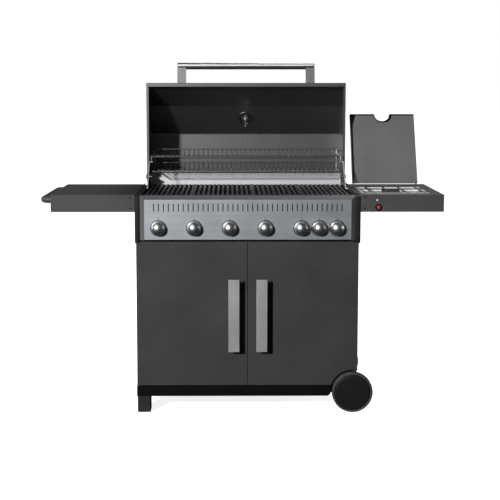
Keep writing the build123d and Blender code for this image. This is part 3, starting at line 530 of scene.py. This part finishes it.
def make_thermometer():
    """The thermometer in the lid: dial outside, washer, nut and probe inside."""
    housing = bmesh.new()
    add_turned(housing, dial_place, dial_out, (
        (0, 0.7), (36.5, 0.7), (38, 2), (38, 11), (37, 12.4), (34.6, 12.4), (33.6, 11.2), (33.6, 8), (0, 8),
    ))
    make_piece("dial_housing", housing, wire_steel, "lid", ("thermometer",))
    washer = bmesh.new()
    add_turned(washer, dial_place, -dial_out, (
        (0, 0.7), (31.5, 0.7), (33, 1.6), (33, 2.8), (31.8, 3.8), (28, 3.8), (26.5, 2.6), (0, 2.6),
    ))
    make_piece("dial_washer", washer, dark_steel, "lid")
    nut = bmesh.new()
    add_turned(nut, dial_place, -dial_out, (
        (0, 2.6), (12.6, 2.6), (13.4, 3.2), (13.4, 10.4), (12.2, 11.4), (0, 11.4),
    ), 6)
    add_turned(nut, dial_place, -dial_out, ((7, 11), (7, 17), (6.2, 18), (4, 18), (4, 11)), 24)
    add_turned(nut, dial_place, -dial_out, ((3, 16), (3, 66.4), (2, 67.6), (0, 68)), 20)
    make_piece("dial_nut", nut, chrome, "lid")
    face = bmesh.new()
    add_turned(face, dial_place, dial_out, ((0, 8.6), (33.2, 8.6), (33.2, 8.1), (0, 8.1)))
    make_piece("dial_face", face, dial_white, "lid")
    marks = bmesh.new()
    for step in range(25):
        spoke = dial_direction(-120 + step * 10)
        inner = 25 if step % 4 == 0 else 28
        start = dial_place + dial_out * 8.8 * mm + spoke * inner * mm
        add_wire(marks, [start, start + spoke * (31 - inner) * mm], 0.45 * mm, 0.0, 4)
    make_piece("dial_marks", marks, mark_black, "lid")
    pointer = bmesh.new()
    spoke = dial_direction(-110)
    hub = dial_place + dial_out * 9.6 * mm
    add_wire(pointer, [hub - spoke * 6 * mm, hub + spoke * 24 * mm], 0.7 * mm, 0.0, 6)
    add_turned(pointer, dial_place, dial_out, ((2.6, 8.6), (2.6, 10.2), (0, 10.6)), 20)
    make_piece("dial_pointer", pointer, red_plastic, "lid")


make_thermometer()

# ------------------------------------------------------------------ knob marks
valve_z = 737.4
panel_y, knob_face, knob_dome = -50, -83, 28.08
for valve_name in valve_names:
    low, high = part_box("knob_" + valve_name)
    knob_x = ((low.x + high.x) / 2 - cart_middle) / mm
    tick = bmesh.new()
    tick_low = at(knob_x - 1.1, panel_y - 0.25, valve_z + 33.2)
    tick_high = at(knob_x + 1.1, panel_y + 0.3, valve_z + 38.4)
    add_box(tick, tick_low, tick_high)
    make_piece("panel_tick_" + valve_name, tick, mark_black, "cart")
    pointer = bmesh.new()
    route = []
    for reach in (17, 19, 21, 23, 25):
        depth = knob_face + knob_dome - math.sqrt(knob_dome**2 - reach**2)
        route.append(at(knob_x, depth, valve_z + reach))
    add_wire(pointer, route, 0.7 * mm, 0.0, 8)
    make_piece("knob_pointer_" + valve_name, pointer, mark_black, "knob_" + valve_name)

# ------------------------------------------------------------------ screws
screw_places = [(side * 453, -0.1, z, (0, -1, 0), 3.5) for side in (-1, 1) for z in (808, 850)]
screw_places += [(side * 432, 31, z, (side, 0, 0), 5) for side in (-1, 1) for z in (692, 712)]
screw_places.append((760, 30, 822, (1, 0, 0), 5))


def add_screw(mesh, place, direction, radius):
    """A pan head with a hexagon socket."""
    socket = radius * 0.42
    add_turned(mesh, place, direction, (
        (radius, 0), (radius, radius * 0.25), (radius * 0.9, radius * 0.42), (radius * 0.68, radius * 0.52),
        (socket * 1.25, radius * 0.54),
    ), 24)
    add_turned(mesh, place, direction, (
        (socket * 1.3, radius * 0.54), (socket, radius * 0.5), (socket, 0.4), (0, 0.4),
    ), 6)


heads = bmesh.new()
for x, y, z, direction, radius in screw_places:
    add_screw(heads, at(x, y, z), Vector(direction), radius)
make_piece("screw_heads", heads, mark_black, "cart", ("screws",))
spark_lamp = bmesh.new()
lamp_profile = ((4, 0), (4, 0.8), (3.6, 1.5), (2.4, 1.9), (0, 2))
add_turned(spark_lamp, at(501, 0, 839), Vector((0, -1, 0)), lamp_profile, 24)
make_piece("spark_screw", spark_lamp, dial_white, "cart")

# ------------------------------------------------------------------ rounded edges
for label, width in (
    ("grates", 1.2), ("base_frame", 1.0), ("door_left_pull", 0.5), ("door_right_pull", 0.5),
    ("lid_handle_posts", 1.5), ("rear_baffle", 0.3), ("grease_tray", 0.3),
):
    bevelled(label, width)

# The control panel stands out in front of the tables, and throws no shadow on them.
for label in ("fascia_cheeks", "fascia_panel", "fascia_frame"):
    nodes[label].visible_shadow = False


# ------------------------------------------------------------------ stage, light and camera
def area_light(name, place, target, size, power, only=()):
    """A soft rectangular light that points at a target, and may light only some objects."""
    data = bpy.data.lights.new(name, "AREA")
    data.shape = "RECTANGLE"
    data.size, data.size_y = size
    data.energy = power
    light = bpy.data.objects.new(name, data)
    light.location = place
    light.rotation_euler = (Vector(target) - Vector(place)).to_track_quat("-Z", "Y").to_euler()
    scene.collection.objects.link(light)
    if only:
        lit = bpy.data.collections.new(name + "_lit")
        for lit_object in only:
            lit.objects.link(lit_object)
        light.light_linking.receiver_collection = lit


def make_stage():
    """A plain pale floor, with a light that acts on nothing else."""
    bpy.ops.mesh.primitive_plane_add(size=80, location=(0, 0, -0.0005))
    floor = bpy.context.object
    floor.name = "floor"
    material, tree, shader = new_material("floor_paint")
    vector = object_coordinates(tree)
    cloud = noise(tree, vector, 0.6, 2.0)
    base = mixed_colour(tree, cloud, (0.76, 0.76, 0.76), (0.80, 0.80, 0.80))
    tree.links.new(base, shader.inputs["Base Color"])
    shader.inputs["Roughness"].default_value = 0.9
    shader.inputs["Specular IOR Level"].default_value = 0.0
    shader.inputs["Emission Color"].default_value = (1, 1, 1, 1)
    shader.inputs["Emission Strength"].default_value = 0.84
    floor.data.materials.append(material)
    floor.visible_diffuse = False
    floor.visible_glossy = False
    only_floor = bpy.data.collections.new("only_floor")
    only_floor.objects.link(floor)
    data = bpy.data.lights.new("floor_light", "SUN")
    data.energy = 1.4
    data.angle = math.radians(70)
    light = bpy.data.objects.new("floor_light", data)
    light.light_linking.receiver_collection = only_floor
    scene.collection.objects.link(light)


def make_light():
    """A key light from the upper left, weaker ones behind and at both sides, and a pale world.

    Two more act only on the handle bar and on the knobs.
    """
    middle = (0, 0, 0.8)
    knobs = [nodes["knob_" + valve_name] for valve_name in valve_names]
    area_light("key", (-4.85, -7.5, 3.95), middle, (0.6, 0.6), 960)
    area_light("bar_light", (-0.4, -2.2, 3.3), (0, 0.4, 1.35), (3.0, 0.3), 34, [nodes["lid_handle_bar"]])
    area_light("knob_light", (-2.0, -2.6, 3.2), (0, 0, 0.75), (0.9, 0.9), 26, knobs)
    area_light("back", (1.2, 3.0, 4.6), middle, (2.4, 1.4), 85)
    area_light("right", (5.0, 0.2, 1.6), middle, (2.0, 2.0), 50)
    area_light("left", (-5.0, 0.8, 1.6), middle, (2.0, 2.0), 45)
    world = bpy.data.worlds.new("studio")
    scene.world = world
    world.use_nodes = True
    tree = world.node_tree
    background = tree.nodes["Background"]
    background.inputs["Color"].default_value = (0.96, 0.98, 1, 1)
    background.inputs["Strength"].default_value = 0.022
    white = add_node(tree, "ShaderNodeBackground", Color=(1, 1, 1, 1), Strength=1.0)
    path = add_node(tree, "ShaderNodeLightPath")
    mix = add_node(tree, "ShaderNodeMixShader")
    tree.links.new(path.outputs["Is Camera Ray"], mix.inputs[0])
    tree.links.new(background.outputs[0], mix.inputs[1])
    tree.links.new(white.outputs[0], mix.inputs[2])
    tree.links.new(mix.outputs[0], tree.nodes["World Output"].inputs["Surface"])


def make_camera():
    """A camera a little left of the middle and above the barbecue, tilted slightly down."""
    data = bpy.data.cameras.new("camera")
    camera = bpy.data.objects.new("camera", data)
    scene.collection.objects.link(camera)
    camera.location = at(-68.3, -3672.5, 1286.8)
    camera.rotation_euler = (math.radians(90 - 5.447), 0, math.radians(-0.3505))
    data.sensor_width = 36
    data.lens = 69.05
    data.shift_x = 0.0286
    data.shift_y = -0.15
    data.clip_end = 100
    scene.camera = camera


make_stage()
make_light()
make_camera()
scene.view_settings.view_transform = "Standard"
